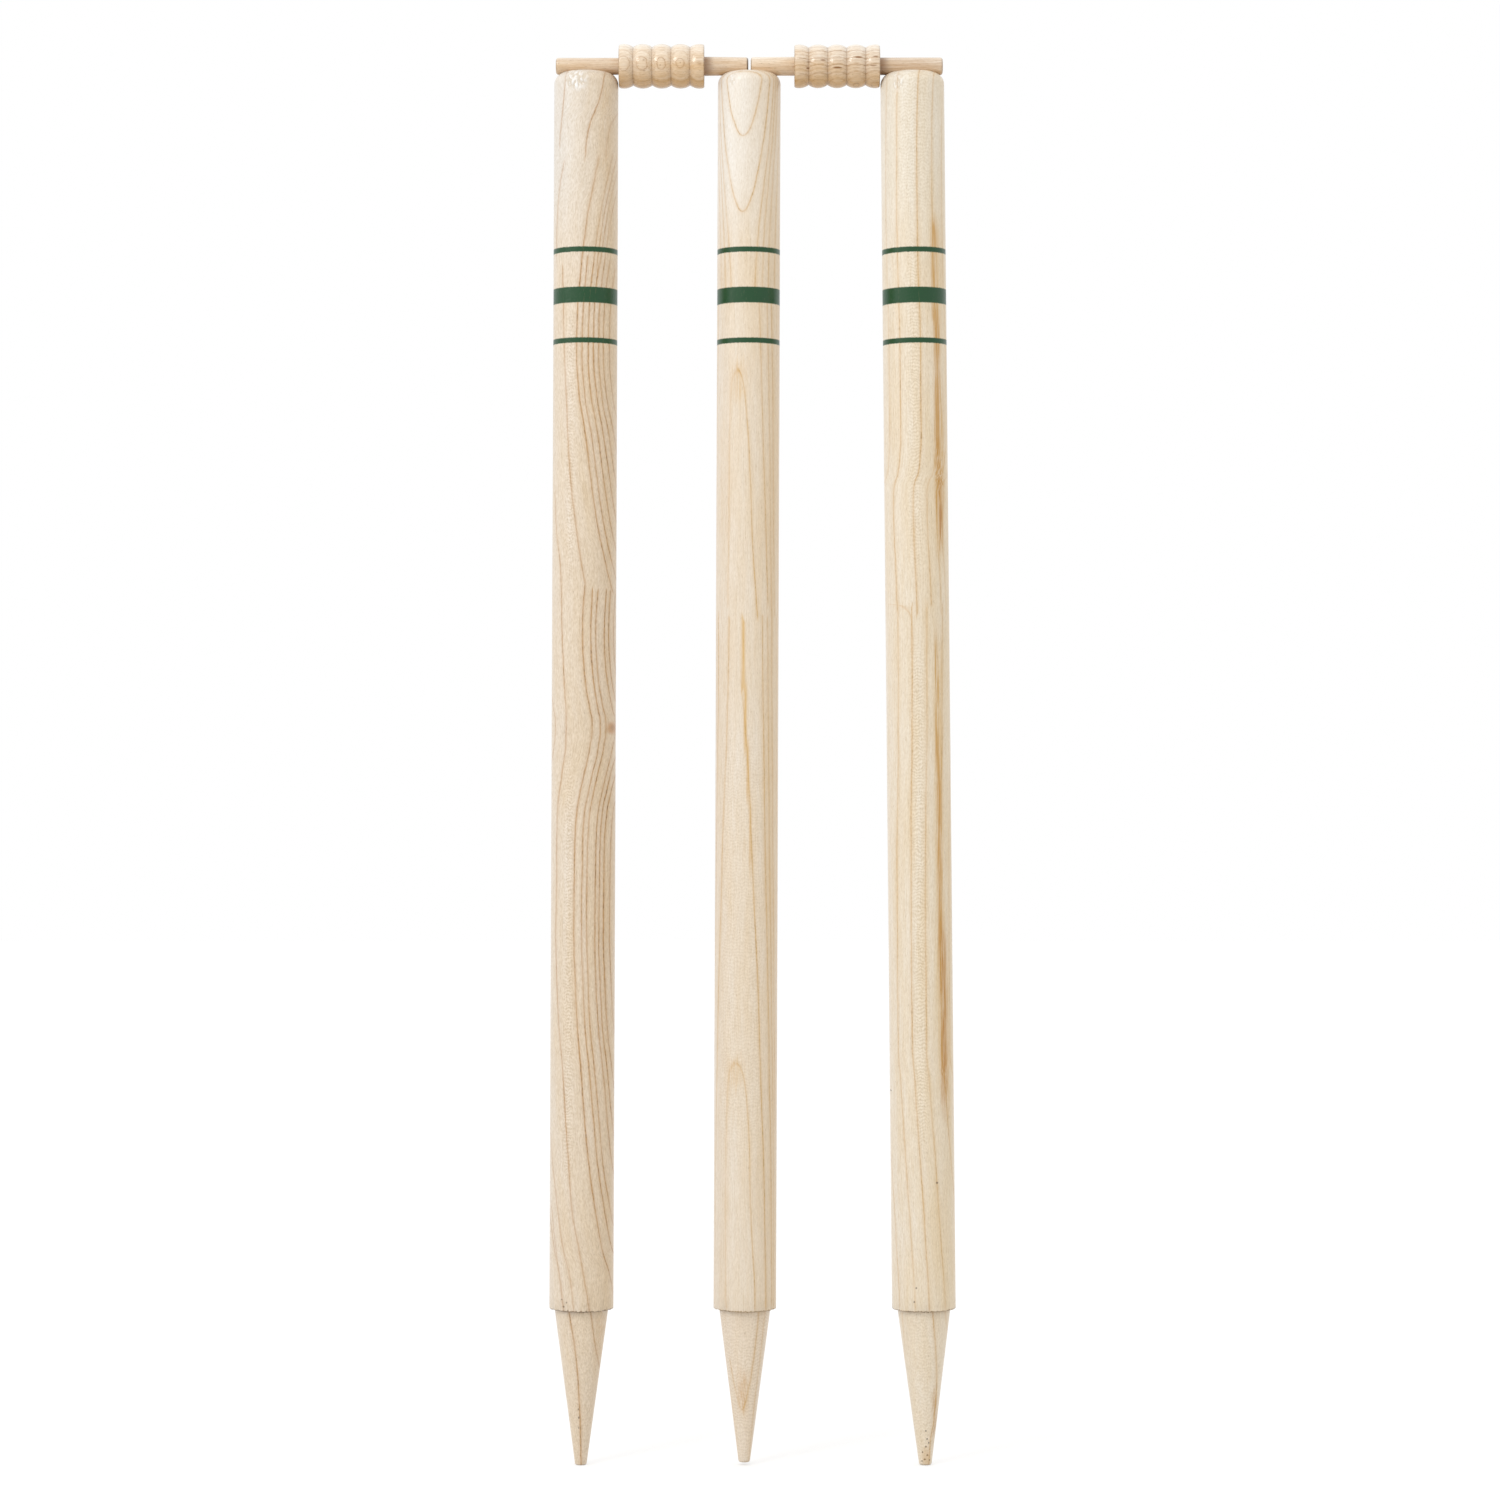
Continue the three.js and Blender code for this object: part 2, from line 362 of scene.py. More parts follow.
# A soft oval mark on the front, by its middle, its half width and its half length along the grain
def frontMark(tree, space, figure, mark):
    x, z, halfWidth, halfLength, strength = mark
    away = addNode(tree, "VectorMath", {
        0: space["spot"], 1: (1 / halfWidth, 0, 1 / halfLength), 2: (-x / halfWidth, 0, -z / halfLength)},
        operation="MULTIPLY_ADD")[0]
    away = addNode(tree, "VectorMath", {0: away}, operation="LENGTH")["Value"]
    dot = addNode(tree, "MapRange", {
        "Value": away, "From Min": 0.3, "From Max": 1, "To Min": strength, "To Max": 0},
        interpolation_type="SMOOTHSTEP")[0]
    return addNode(tree, "MapRange", {
        "Value": space["y"], "From Min": 0, "From Max": figure["frontSide"], "To Min": 0, "To Max": dot})[0]


# Plain painted rings round the shaft, between pairs of heights
def paintedRings(tree, space, rings):
    edge = 0.35
    ragged = grainNoise(tree, space["spot"], grain["paintEdge"], 0.15)
    height = addNode(tree, "Math", {0: space["height"], 1: ragged}, operation="ADD")[0]
    paint = 0
    for low, high in rings:
        ring = heightWindow(tree, height, low - edge, high + edge, 2 * edge)
        paint = addNode(tree, "Math", {0: paint, 1: ring}, operation="MAXIMUM")[0]
    return paint


# The wood under its lines and marks, and the fine light and dark of its flecks and curl
def plainWood(tree, space, figure, tone):
    # Slow clouds of warmer wood, and painted light and shade: the minus x side, towards the lamps, is painted
    # paler and greyer and the other side warmer. On a bail minus x is the top, so its top is painted pale and
    # its underside warm.
    clouds = grainNoise(tree, space["fibre"], grain["clouds"], 0.45, detail=3)
    paintedSide = addNode(tree, "MapRange", {
        "Value": space["x"], "From Min": -figure["paintedSideReach"], "From Max": figure["paintedSideReach"],
        "To Min": -figure["paintedSideShade"], "To Max": figure["paintedSideShade"]})[0]
    cloudsAndPaintedSide = addNode(tree, "Math", {0: clouds, 1: paintedSide}, operation="ADD")[0]
    cloudsAndPaintedSide = addNode(tree, "MapRange", {"Value": cloudsAndPaintedSide, "From Min": -0.75, "From Max": 0.75})[0]
    fibres = grainNoise(tree, space["fibre"], grain["fibres"], 0.5, detail=3)
    fibres = addNode(tree, "MapRange", {
        "Value": fibres, "From Min": -0.1, "From Max": 0.6, "To Max": figure["fibreStrength"]})[0]
    layers = [(cloudsAndPaintedSide, tone["warm"]), (fibres, tone["fibre"])]

    # The spike is left bare: paler and drier than the lacquered shaft
    if "spike" in tone:
        bare = addNode(tree, "MapRange", {
            "Value": space["height"], "From Min": -2, "From Max": 0,
            "To Min": figure["bareness"], "To Max": 0})[0]
        layers.append((bare, tone["spike"]))

    # Nearest the head the wood is painted whiter, most on one side: a painted sheen in place of the lamps'
    # broad reflection on the lacquer
    if "paintedHeadSheen" in figure:
        mostAt, lessAt = figure["paintedSheenSides"]
        least, most = figure["paintedHeadSheen"]
        low, high = figure["paintedSheenHeights"]
        upper = addNode(tree, "MapRange", {
            "Value": space["height"], "From Min": low, "From Max": high}, interpolation_type="SMOOTHSTEP")[0]
        across = addNode(tree, "MapRange", {
            "Value": space["x"], "From Min": mostAt, "From Max": lessAt, "To Min": most, "To Max": least})[0]
        paintedSheen = addNode(tree, "Math", {0: upper, 1: across}, operation="MULTIPLY")[0]
        layers.append((paintedSheen, tone["paintedSheen"]))
    wood = layered(tree, tone["pale"], layers)

    # Flecks of cut cells, and in patches dotted ripples of curl across the grain, two millimetres apart
    flecks = grainNoise(tree, space["fibre"], grain["flecks"], figure["fleckStrength"])
    waviness = grainNoise(tree, space["spot"], grain["curlWaves"], 1.7)
    crest = addNode(tree, "Math", {0: space["height"], 1: waviness}, operation="ADD")[0]
    crest = addNode(tree, "Math", {0: crest, 1: math.pi}, operation="MULTIPLY")[0]
    crest = addNode(tree, "Math", {0: crest}, operation="SINE")[0]
    dots = grainNoise(tree, space["spot"], grain["curlDots"], 0.8, detail=1)
    crest = addNode(tree, "Math", {0: crest, 1: dots}, operation="ADD")[0]
    curl = 0
    for patch in figure.get("curl", []):
        rippled = grainPatch(tree, space, patch)
        curl = addNode(tree, "Math", {0: curl, 1: rippled}, operation="MAXIMUM")[0]
    curl = addNode(tree, "Math", {0: curl, 1: crest}, operation="MULTIPLY")[0]
    shade = addNode(tree, "Math", {0: curl, 1: flecks}, operation="ADD")[0]
    goldenShade = addNode(tree, "VectorMath", {0: shade, 1: (1, 1.2, 1.6), 2: (1, 1, 1)},
                          operation="MULTIPLY_ADD")[0]
    wood = addNode(tree, "Mix", {0: 1, 6: wood, 7: goldenShade}, data_type="RGBA", blend_type="MULTIPLY")[2]
    return wood, shade


# The bottoms of the grooves between beads are tinted dark brown. On the spigots go dust, a painted shadow
# where the barrel shades the spigot beside it, and painted shade on a shaded cut end.
def barrelTintsAndShadows(tree, space, figure, tone):
    bottom = figure["grooveBottom"]
    flat = addNode(tree, "VectorMath", {0: space["spot"], 1: (1, 1, 0)}, operation="MULTIPLY")[0]
    out = addNode(tree, "VectorMath", {0: flat}, operation="LENGTH")["Value"]
    # Darker brown at the bottom of the grooves between beads
    deep = addNode(tree, "MapRange", {
        "Value": out, "From Min": bottom, "From Max": bottom + figure["grooveTintReach"],
        "To Min": figure["grooveTint"], "To Max": 0}, interpolation_type="SMOOTHSTEP")[0]
    barrel = addNode(tree, "Math", {0: out, 1: bottom - 1}, operation="GREATER_THAN")[0]
    deep = addNode(tree, "Math", {0: deep, 1: barrel}, operation="MULTIPLY")[0]
    spigot = addNode(tree, "Math", {0: 1, 1: barrel}, operation="SUBTRACT")[0]
    layers = [(deep, tone["groove"])]
    for height, reach, strength, part in figure["dustAndShadows"]:
        dustOrShadow = softSpot(tree, space["height"], height, reach, strength)
        dustOrShadow = addNode(tree, "Math", {0: dustOrShadow, 1: spigot}, operation="MULTIPLY")[0]
        layers.append((dustOrShadow, tone[part]))
    return layers


# Ash, turned, sanded and sealed with a thin satin lacquer: cream wood with golden porous year lines, fine
# flecks that run with the grain, and a soft broad sheen that the open pores break up
def satinAsh(name, figure, colours):
    material = bpy.data.materials.new(name)
    tree = emptyTree(material)
    space = timberSpace(tree, figure)
    tone = {part: linearColour(text) for part, text in colours.items()}
    wood, shade = plainWood(tree, space, figure, tone)
    layers = []

    # Mineral stains: streaks that run up the grain
    streaks = grainNoise(tree, space["fibre"], grain["streaks"], 0.5)
    for colour, solid, *patch in figure.get("stains", []):
        broken = addNode(tree, "MapRange", {
            "Value": streaks, "From Min": -0.15, "From Max": 0.12, "To Min": solid})[0]
        stain = grainPatch(tree, space, patch)
        stain = addNode(tree, "Math", {0: stain, 1: broken}, operation="MULTIPLY")[0]
        layers.append((stain, linearColour(colour)))

    # The year lines fade and darken along their length
    line = glow = 0
    for section in figure["sections"] + figure.get("strays", []):
        lines, halo = yearLines(tree, space, section, figure)
        line = addNode(tree, "Math", {0: line, 1: lines}, operation="MAXIMUM")[0]
        glow = addNode(tree, "Math", {0: glow, 1: halo}, operation="MAXIMUM")[0]
    fading = grainNoise(tree, space["fibre"], grain["lineFading"], 0.5)
    fading = addNode(tree, "MapRange", {
        "Value": fading, "From Min": -0.4, "From Max": 0.35, "To Min": figure["faintest"]})[0]
    line = addNode(tree, "Math", {0: line, 1: fading}, operation="MULTIPLY")[0]
    for mask, strength in ((glow, figure["glowStrength"]), (line, figure["lineStrength"])):
        tint = addNode(tree, "Math", {0: mask, 1: strength}, operation="MULTIPLY")[0]
        layers.append((tint, tone["yearLine"]))

    # Pores are open vessels cut lengthwise: dashes about three millimetres long, crowded in the year lines
    dashes = grainNoise(tree, space["fibre"], grain["pores"], 0.5, detail=3)
    crowded = addNode(tree, "MapRange", {
        "Value": dashes, "From Min": 0, "From Max": 0.26, "To Max": figure["dashStrength"]})[0]
    core = addNode(tree, "MapRange", {"Value": line, "From Min": 0.3, "From Max": 0.9})[0]
    inLine = addNode(tree, "Math", {0: crowded, 1: core}, operation="MULTIPLY")[0]
    lone = addNode(tree, "MapRange", {
        "Value": dashes, "From Min": 0.3, "From Max": 0.5, "To Max": figure["poreStrength"]})[0]
    pores = addNode(tree, "Math", {0: inLine, 1: lone}, operation="MAXIMUM")[0]
    layers.append((pores, tone["pore"]))

    # Specks and small knots on the front
    for *mark, part in figure.get("marks", []):
        layers.append((frontMark(tree, space, figure, mark), tone[part]))

    # End grain soaks up the lacquer and turns darker
    facing = addNode(tree, "SeparateXYZ", {0: space["outward"]})[2]
    facing = addNode(tree, "Math", {0: facing}, operation="ABSOLUTE")[0]
    soaked = addNode(tree, "MapRange", {
        "Value": facing, "From Min": 0.3, "From Max": 0.9, "To Max": figure["endGrain"]})[0]
    layers.append((soaked, tone["pore"]))
    if "grooveBottom" in figure:
        layers += barrelTintsAndShadows(tree, space, figure, tone)

    # Painted shade: a dark band under the shoulder, round its rim and over the top of the spike
    if "shoulderShade" in figure:
        rimWobble = grainNoise(tree, space["spot"], grain["shadeWobble"], 0.5)
        rim = addNode(tree, "Math", {0: space["height"], 1: rimWobble}, operation="ADD")[0]
        low, high, fade = -0.5, 0.9, 0.45
        rim = heightWindow(tree, rim, low, high, fade)
        rim = addNode(tree, "Math", {0: rim, 1: figure["shoulderShade"]}, operation="MULTIPLY")[0]
        layers.append((rim, tone["pore"]))

    # Open pores, flecks and curl, felt as fractions of a tenth of a millimetre
    reliefDepth = 0.12 * mm
    fleckRelief = 4
    hollow = addNode(tree, "Math", {0: pores, 1: -1}, operation="MULTIPLY")[0]
    relief = addNode(tree, "Math", {0: shade, 1: fleckRelief, 2: hollow}, operation="MULTIPLY_ADD")[0]
    roughness = addNode(tree, "MapRange", {
        "Value": pores, "To Min": figure["roughness"], "To Max": figure["poreRoughness"]})[0]

    # Thick runny lacquer, glossy, with painted glints: milky white and grey streaks stand in for the lamp's
    # glints on the runs
    lacquerRelief = 6
    for mark in figure.get("lacquerRunsAndGlints", []):
        pool = frontMark(tree, space, figure, mark)
        roughness = addNode(tree, "MapRange", {
            "Value": pool, "To Min": roughness, "To Max": figure["poolRoughness"]})[0]
        runs = grainNoise(tree, space["spot"], grain["lacquerRunsAndGlints"], lacquerRelief)
        clear = addNode(tree, "MapRange", {"Value": runs, "From Min": -1, "From Max": 2.5})[0]
        layers.append((pool, layered(tree, tone["glintGrey"], [(clear, tone["glintWhite"])])))
        relief = addNode(tree, "Math", {0: runs, 1: pool, 2: relief}, operation="MULTIPLY_ADD")[0]

    if "paintedRings" in figure:
        paint = paintedRings(tree, space, figure["paintedRings"])
        worn = addNode(tree, "MapRange", {"Value": pores, "From Max": 1.2, "To Min": 1, "To Max": 0.75})[0]
        paint = addNode(tree, "Math", {0: paint, 1: worn}, operation="MULTIPLY")[0]
        layers.append((paint, tone["paint"]))

    bump = addNode(tree, "Bump", {"Strength": 0.6, "Distance": reliefDepth, "Height": relief})[0]
    surface = addNode(tree, "BsdfPrincipled", {
        "Base Color": layered(tree, wood, layers), "Roughness": roughness, "IOR": 1.5, "Normal": bump})[0]
    addNode(tree, "OutputMaterial", {"Surface": surface})
    return material


# Shapes turned on the lathe

# Points on an arc, as radius and height. Angle zero points away from the axis and a right angle points up it.
def arc(centreRadius, centreHeight, radius, startAngle, endAngle, steps):
    points = []
    for step in range(steps + 1):
        angle = startAngle + (endAngle - startAngle) * step / steps
        points.append((centreRadius + radius * math.cos(angle), centreHeight + radius * math.sin(angle)))
    return points


# Points between two others, so that a long straight side can take unevenness
def between(start, end, step):
    count = max(1, round(math.dist(start, end) / step))
    shares = [number / count for number in range(1, count)]
    return [(start[0] + (end[0] - start[0]) * s, start[1] + (end[1] - start[1]) * s) for s in shares]


# Turns an outline of radius and height, in millimetres, round the local z axis
def turnOutline(outline, sides):
    work = bmesh.new()
    rings = []
    for radius, height in outline:
        if radius == 0:
            rings.append([work.verts.new((0, 0, height * mm))])
            continue
        ring = []
        for side in range(sides):
            angle = math.tau * side / sides
            spot = (radius * math.cos(angle) * mm, radius * math.sin(angle) * mm, height * mm)
            ring.append(work.verts.new(spot))
        rings.append(ring)
    for lower, upper in zip(rings, rings[1:]):
        for side in range(sides):
            corners = [lower[side % len(lower)], lower[(side + 1) % len(lower)],
                       upper[(side + 1) % len(upper)], upper[side % len(upper)]]
            work.faces.new(list(dict.fromkeys(corners)))
    return work


# Makes the object from the turned work, in place on its body, standing for its CAD node
def finishPiece(name, work, place, node, material):
    sharpAngle = math.radians(38)
    mesh = bpy.data.meshes.new(name)
    work.to_mesh(mesh)
    work.free()
    mesh.materials.append(material)
    for polygon in mesh.polygons:
        polygon.use_smooth = True
    mesh.set_sharp_from_angle(angle=sharpAngle)
    piece = bpy.data.objects.new(name, mesh)
    piece.matrix_world = place
    bpy.context.scene.collection.objects.link(piece)
    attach(piece, node)
    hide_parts(node)


# The stumps

stumpShape = {
    "heightAboveGround": 712.2,
    "headEdgeRadius": 6.8,
    "headCrownRadius": 120,
    "shoulderEdgeRadius": 0.6,
    "spikeTipEdgeRadius": 1.2,
    "spikeTipInset": 0.02,
    "spigotClearance": 0.3,
    "grooveSoftness": 0.35,
    "sides": 128,
    "longStep": 8,
    "shoulderStep": 0.8,
    "tipRings": 6,
    "rimRings": 4,
    "edgeRings": 14,
    "crownRings": 24,
}

stumpWear = {
    "unevenness": 0.12,
    "smoothCore": 2,
    "bumpsPerMetre": 45,
    "bumpStretch": 0.35,
    "bumpShare": 0.35,
    "ridgeSpacing": 2.6,
    "ridgeShare": 0.15,
    "nickDepth": 0.9,
    "nickRise": 0.7,
    "nickHeight": 1.5,
    "nicksPerMetre": 420,
    "seedStep": 7.3,
}

# How a piece's timber is told. Sections and strays are stretches of it: a drift pairs heights with how far
# the growth layers have moved sideways there, and a year is a layer's place and its line's strength. Two more
# numbers leave a line on one side of a middle only. Curl is a layer's place, a half width, two heights, their
# fade and a strength. A stain is a colour, how much of it is solid, and then the same, and perhaps a place
# along the layer with its own half width. A mark, or a lacquer run with its painted glints, is an x, a
# height, a half width, a half length and a strength. Dust, or painted shadow and shade, is a height, a reach
# and a strength.

leftStump = {
    "name": "left_stump",
    "bail": "left_bail",
    "spikeRootDiameter": 31.1,
    "spikeTipDiameter": 6.7,
    "seed": 3,
    "colours": {
        "pale": "#e8dac8", "warm": "#e3ccab", "fibre": "#c0a47e", "yearLine": "#b5803a", "pore": "#6b4b25",
        "speck": "#54402a", "knot": "#c08a52", "spike": "#ecd8bd", "paintedSheen": "#e4e0da",
    },
    "ringTurn": 90,
    "pithDistance": 150,
    "sections": [
        {"drift": [(658, -8.4), (667, -8), (679, -6), (686.6, -3.2), (697, -0.1), (707, 1.4), (716, 2)],
         "years": [(10.1, 0.7), (21, 0.4)]},
        {"drift": [(597, -10.8), (624, -7.6), (645, -4), (660, -1.3), (665, -0.6)],
         "years": [(10.1, 0.8), (16.8, 0.5), (18.8, 0.5), (20.5, 0.5), (22.5, 0.5)]},
        {"drift": [(409, 7.6), (425, 4), (451, -1), (477, -4.6), (502, -7.8), (528, -11.9), (549, -13.2),
                   (575, -12.7), (604, -10.1)],
         "years": [(10.1, 0.9), (13.4, 0.9), (16.8, 0.9), (19.8, 0.9), (22.5, 0.8), (25, 0.8), (28, 0.6)]},
        {"drift": [(-1, 22.4), (16, 20.5), (37, 15.8), (63, 11.8), (88, 8.4), (114, 6.2), (140, 4),
                   (166, 1.5), (192, 0.3), (218, -0.4), (246, -0.3), (270, 0), (285, 1), (296, 2.9),
                   (308, 5.3), (325, 8.6), (335, 9.5), (345, 8.2), (360, 5.8), (373, 4.6), (389, 4),
                   (415, 5)],
         "years": [(-40, 0.6), (-31, 0.7), (-25, 0.5), (-3, 0.9), (1.6, 0.9), (4.4, 0.8), (8.8, 0.9),
                   (11, 1), (13.3, 1), (16.4, 0.9), (19, 0.8), (21.5, 0.7), (24.5, 0.7), (28, 0.6),
                   (32, 0.6)]},
        {"drift": [(-92, 0.2), (-62, -0.2), (-34, -1.5), (1, -6)], "years": [(0, 0.9)], "fade": 1},
    ],
    "strays": [
        {"drift": [(666, -14.6), (690, -12), (707, -10.3), (716, -9.5)], "years": [(0, 0.6)]},
        {"drift": [(600, -16.5), (635, -15), (661, -10.7)], "years": [(0, 0.6)]},
        {"drift": [(411, 3.2), (425, 0.8), (451, -3.2), (479, -6.8), (502, -8.1), (528, -9.4), (549, -10.6),
                   (600, -12)],
         "years": [(0, 0.65)]},
        {"drift": [(408, -11.7), (425, -12.5), (451, -15.7), (470, -16.5)], "years": [(0, 0.6)]},
        {"drift": [(-50, 12), (-40, 11.5), (-20, 8.6), (0, 6.4), (16, 4.1), (37, 0.2), (63, -4.4),
                   (88, -6.2), (114, -8.1), (140, -9.9), (166, -12.5), (192, -13.9), (218, -14.8),
                   (246, -14.3), (285, -13.9), (308, -11.3), (335, -8.6), (360, -9.9), (373, -10.6),
                   (389, -11.3), (415, -11.9)],
         "years": [(0, 0.7)]},
        {"drift": [(-1, -8.5), (10, -10.1), (39, -14.3), (60, -17)], "years": [(0, 0.6)], "fade": 1},
    ],
    "curl": [
        (-6.5, 5, 60, 330, 40, 0.09),
        (-6.5, 5, 405, 590, 40, 0.07),
        (0, 14, -92, 2, 4, 0.025),
    ],
    "stains": [
        ("#d6ad74", 0.1, 13, 7, -60, 2, 10, 0.4),
        ("#d1ab72", 0.1, 12.5, 5, 640, 712, 20, 0.3),
    ],
    "marks": [
        (-9.5, 3, 0.8, 0.8, 0.7, "speck"), (-7.8, 5.5, 0.6, 0.7, 0.6, "speck"),
        (-10.6, 7, 0.6, 0.7, 0.6, "speck"), (-7, 1, 0.7, 0.6, 0.6, "speck"),
        (-0.9, -62, 0.6, 1.1, 0.8, "speck"), (-1, -57, 0.5, 0.9, 0.6, "speck"),
        (-1, -68, 0.5, 1, 0.5, "speck"), (16.6, 334.3, 4, 5.2, 0.7, "knot"),
        (16.9, 334.5, 1.6, 2.4, 0.2, "pore"),
    ],
    "paintedHeadSheen": (0.1, 0.6),
    "lacquerRunsAndGlints": [(-5.5, 705, 9, 8.5, 0.75)],
    "fleckStrength": 0.13,
}

middleStump = {
    "name": "middle_stump",
    "bail": "right_bail",
    "spikeRootDiameter": 29.6,
    "spikeTipDiameter": 6.6,
    "seed": 11,
    "colours": {
        "pale": "#eee3d4", "warm": "#e8d2b2", "fibre": "#cbb087", "yearLine": "#cc9a3c", "pore": "#96702f",
        "spike": "#f2e0ca", "paintedSheen": "#f3f0ea",
    },
    "ringTurn": -11,
    "pithDistance": 60,
    "sections": [
        {"drift": [(577, 4), (583, 4.1), (606, 3.8), (628, 3), (644, 2.05), (654, 1.4), (672, 0),
                   (681, -0.6), (692, -1.4), (716, -3)],
         "years": [(18.1, 0.75), (15.1, 0.8), (12.95, 0.6), (11.4, 0.6), (9.2, 0.6), (5.3, 0.55), (1, 0.5),
                   (-3.5, 0.6), (-8, 0.6), (-12.5, 0.5), (-16, 0.5)]},
        {"drift": [(395, 0.6), (401, 0.75), (412, 1.1), (437, 1.76), (476, 2.3), (493, 2.5), (513.6, 2.85),
                   (529, 3.1), (537, 3.3), (560, 3.9), (583, 4.3)],
         "years": [(14.8, 0.95, 1, -3), (8.2, 0.65), (5.8, 0.6), (1, 0.5), (-3.5, 0.6), (-8, 0.6),
                   (-12.5, 0.5), (-16, 0.5)], "lean": -0.1},
        {"drift": [(-1, -6.95), (5, -6.9), (39, -6.3), (64, -5.95), (90, -5.5), (129, -4.45), (146, -4.1),
                   (193, -3.07), (246, -1.85), (295, -1.08), (308, -0.87), (334, -0.45), (360, -0.08),
                   (400, 0.07)],
         "years": [(18.1, 1, 1, 0), (13.8, 0.8), (11.4, 0.65), (8.8, 0.6), (4, 0.5), (-1, 0.6), (-5.5, 0.6),
                   (-10, 0.6), (-14.5, 0.6), (-19, 0.5)], "lean": -0.1},
        {"drift": [(-92, -13.4), (-57, -10.8), (-53, -10.5), (-32, -9.4), (-2.5, -7), (1, -6.7)],
         "years": [(18.1, 0.9, 1, 0), (14.8, 0.4)], "fade": 1},
    ],
    "strays": [
        {"drift": [(-92, -13.4), (-57, -10.8), (-53, -10.5), (-32, -9.4), (-26, -9)],
         "years": [(18.1, 0.5, -1, 0)]},
        {"drift": [(403, 17.45), (450, 17.55), (485, 17.6), (511, 17.7), (527, 17.8), (538, 18.15),
                   (545, 18.6)],
         "years": [(0, 0.45, -1, -3)], "lean": -0.1},
        {"drift": [(400, 11.1), (424, 11.8), (450, 12.65), (476, 13.4), (493, 13.75), (513.6, 14.1),
                   (537, 14.5), (583, 15.5)],
         "years": [(0, 0.8, 1, 0)], "lean": -0.1},
        {"drift": [(-1, 12), (39, 12.2), (90, 12.6), (146, 14), (193, 14.95), (246, 16.05), (295, 16.72),
                   (334, 17.3), (360, 17.52), (400, 17.7)],
         "years": [(0, 0.6, -1, 0)], "lean": -0.1},
        {"drift": [(-1, 17.5), (12, 17.5), (64, 17.52), (116, 17.62), (134, 17.83), (140, 18.05),
                   (144, 18.25), (150, 18.9)],
         "years": [(0, 0.4, -1, -2)], "lean": -0.1},
        {"drift": [(-1, 15.2), (13, 15.45), (39, 16.2), (64, 16.6), (90, 16.8), (116, 17.24), (134, 17.7),
                   (140, 18), (144, 18.25), (150, 18.9)],
         "years": [(0, 0.75, 1, -2)], "lean": -0.1},
    ],
    "stains": [
        ("#d9a94c", 0.8, 18, 2, 352, 400, 6, 0.7, 1.2, 2),
        ("#d9a94c", 0.8, 18, 2, 316, 366, 14, 0.7, 2.5, 1.6),
        ("#d6a446", 0.8, 18, 2.5, 282, 334, 14, 0.6, 4, 1.4),
        ("#d6a446", 0.7, 18, 3, 244, 298, 16, 0.5, 5.5, 1.3),
        ("#d8ab5c", 0.3, 18, 2, 516, 550, 12, 0.35, -1.6, 9),
        ("#d8ab5c", 0.3, 18, 2, 124, 151, 10, 0.35, -2.6, 9),
        ("#cf9f5e", 0.35, 8.5, 4, -64, -30, 11, 0.6, 0.6, 5),
    ],
    "curl": [
        (8, 12, -92, 2, 4, 0.05),
        (17, 5, 60, 360, 60, 0.035),
    ],
    "lacquerRunsAndGlints": [(-9.5, 706, 4, 6, 0.4)],
    "paintedHeadSheen": (0.2, 0.7),
    "lineStrength": 0.66,
    "dashStrength": 0.7,
    "fleckStrength": 0.07,
}

